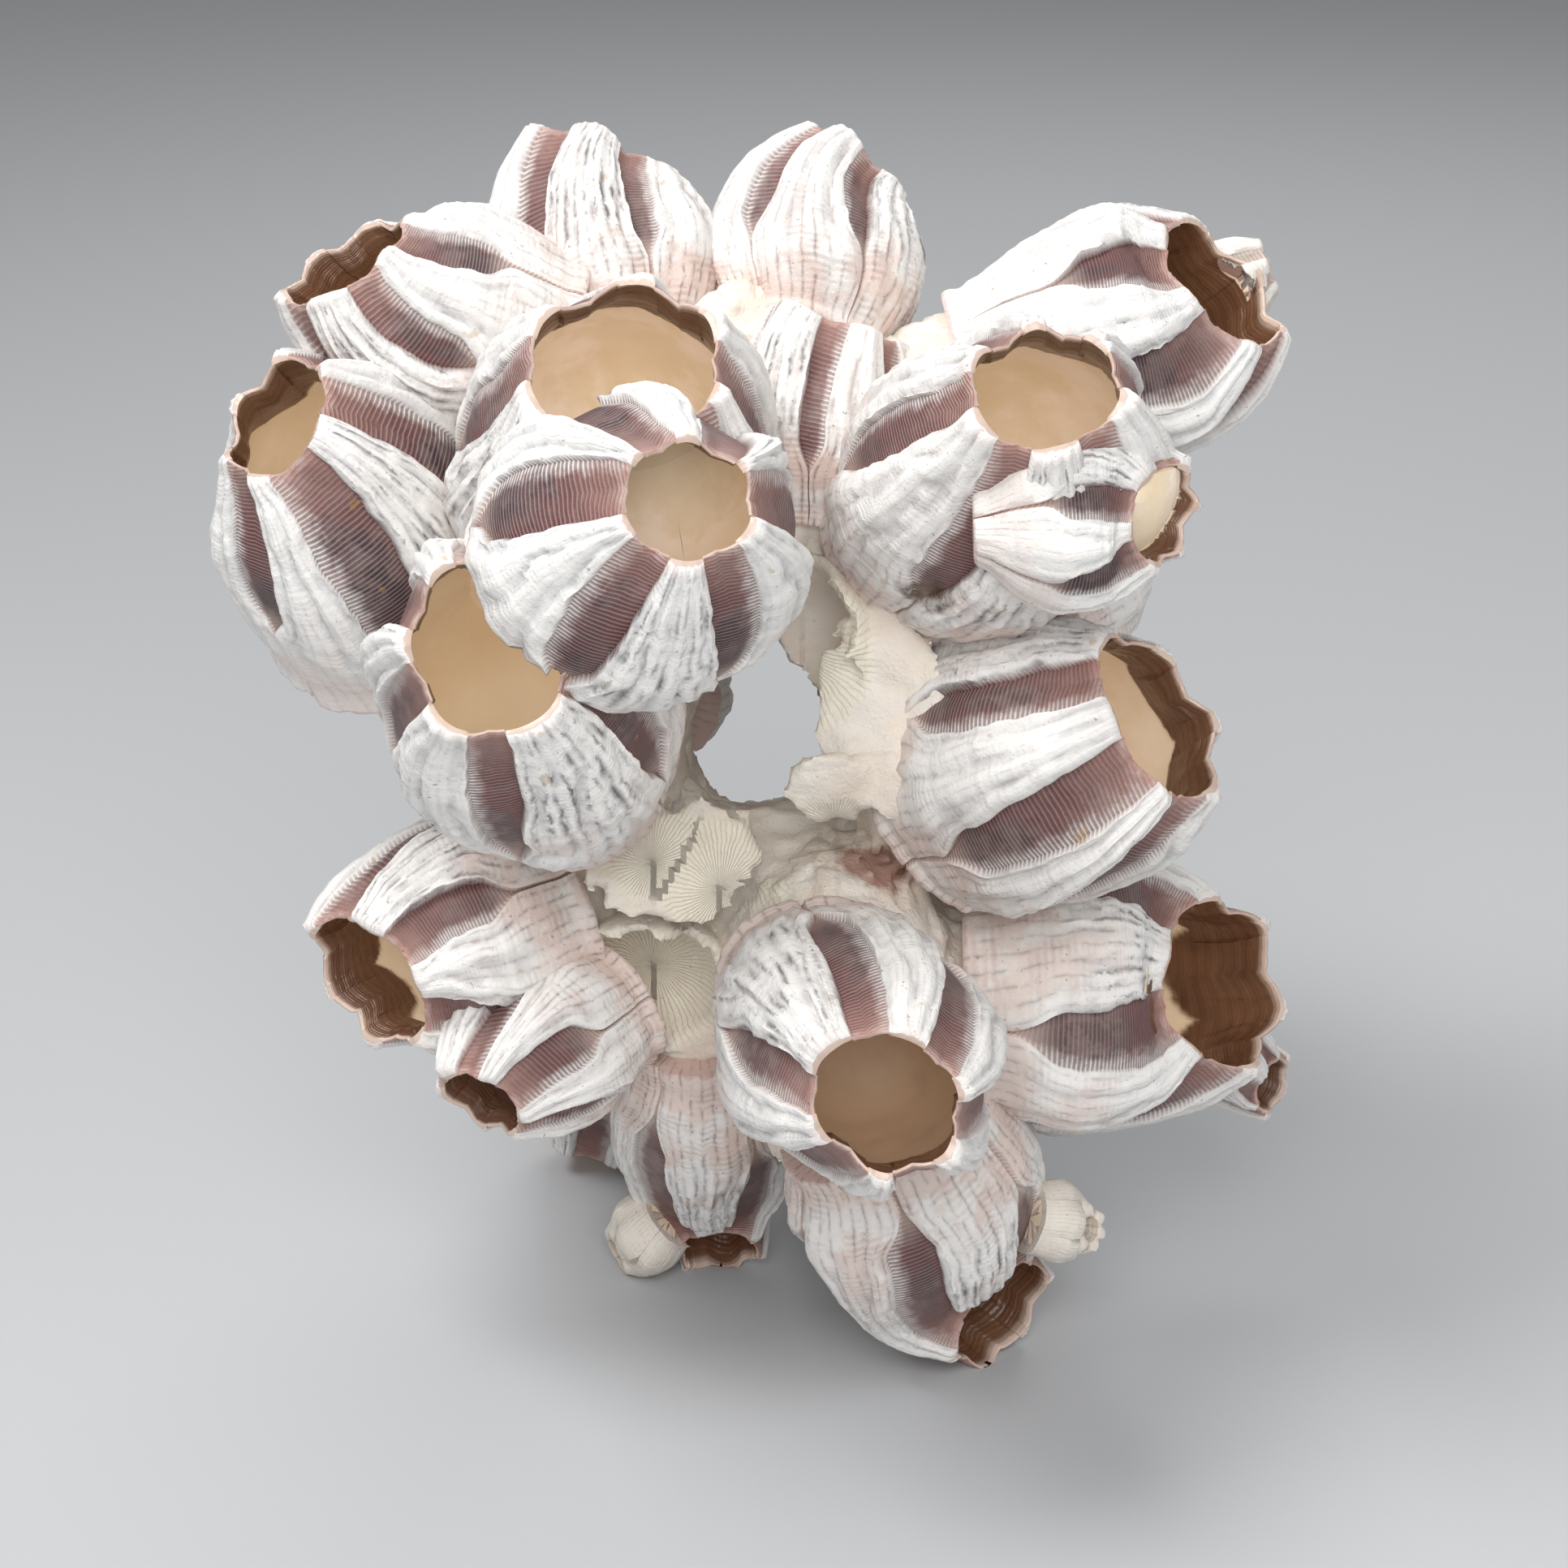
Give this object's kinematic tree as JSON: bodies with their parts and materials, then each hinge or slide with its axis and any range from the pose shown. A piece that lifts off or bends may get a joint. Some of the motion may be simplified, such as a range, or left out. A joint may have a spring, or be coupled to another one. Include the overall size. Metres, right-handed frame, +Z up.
{
  "type": "barnacle cluster",
  "caption": "Clump of acorn barnacles grown together in every direction around a cream crust with a hole through it, standing on the rims of its lowest barnacles.",
  "frame": {"origin": "middle of the footprint, on the surface that the cluster stands on", "axes": "+Z up, -Y towards the side that the picture shows, +X to its right"},
  "size_m": [0.1078, 0.1041, 0.1207],
  "materials": {
    "chalky_shell": "matte",
    "pale_shell": "matte",
    "cream_crust": "matte"
  },
  "bodies": {
    "root": {"back_centre": "chalky_shell", "back_left": "chalky_shell", "back_lower_left": "chalky_shell", "back_lower_right": "chalky_shell", "back_middle_left": "chalky_shell", "back_middle_right": "chalky_shell", "back_right": "chalky_shell", "back_top": "chalky_shell", "back_upper_left": "chalky_shell", "back_upper_right": "chalky_shell", "crust": "cream_crust", "foot_back_left": "chalky_shell", "foot_back_right": "chalky_shell", "foot_centre": "chalky_shell", "foot_centre_tip": "pale_shell", "foot_right": "chalky_shell", "foot_right_tip": "pale_shell", "left_big": "chalky_shell", "left_centre_big": "chalky_shell", "lower_centre_front": "chalky_shell", "lower_left": "chalky_shell", "lower_left_small": "chalky_shell", "lower_right_big": "chalky_shell", "lower_right_tip": "pale_shell", "right_big": "chalky_shell", "right_small": "chalky_shell", "top_left": "chalky_shell", "top_right": "chalky_shell", "upper_centre_big": "chalky_shell", "upper_centre_front": "chalky_shell", "upper_left": "chalky_shell", "upper_middle": "chalky_shell", "upper_right_big": "chalky_shell", "upper_right_long": "chalky_shell", "upper_right_tip": "pale_shell"}
  },
  "joints": []
}
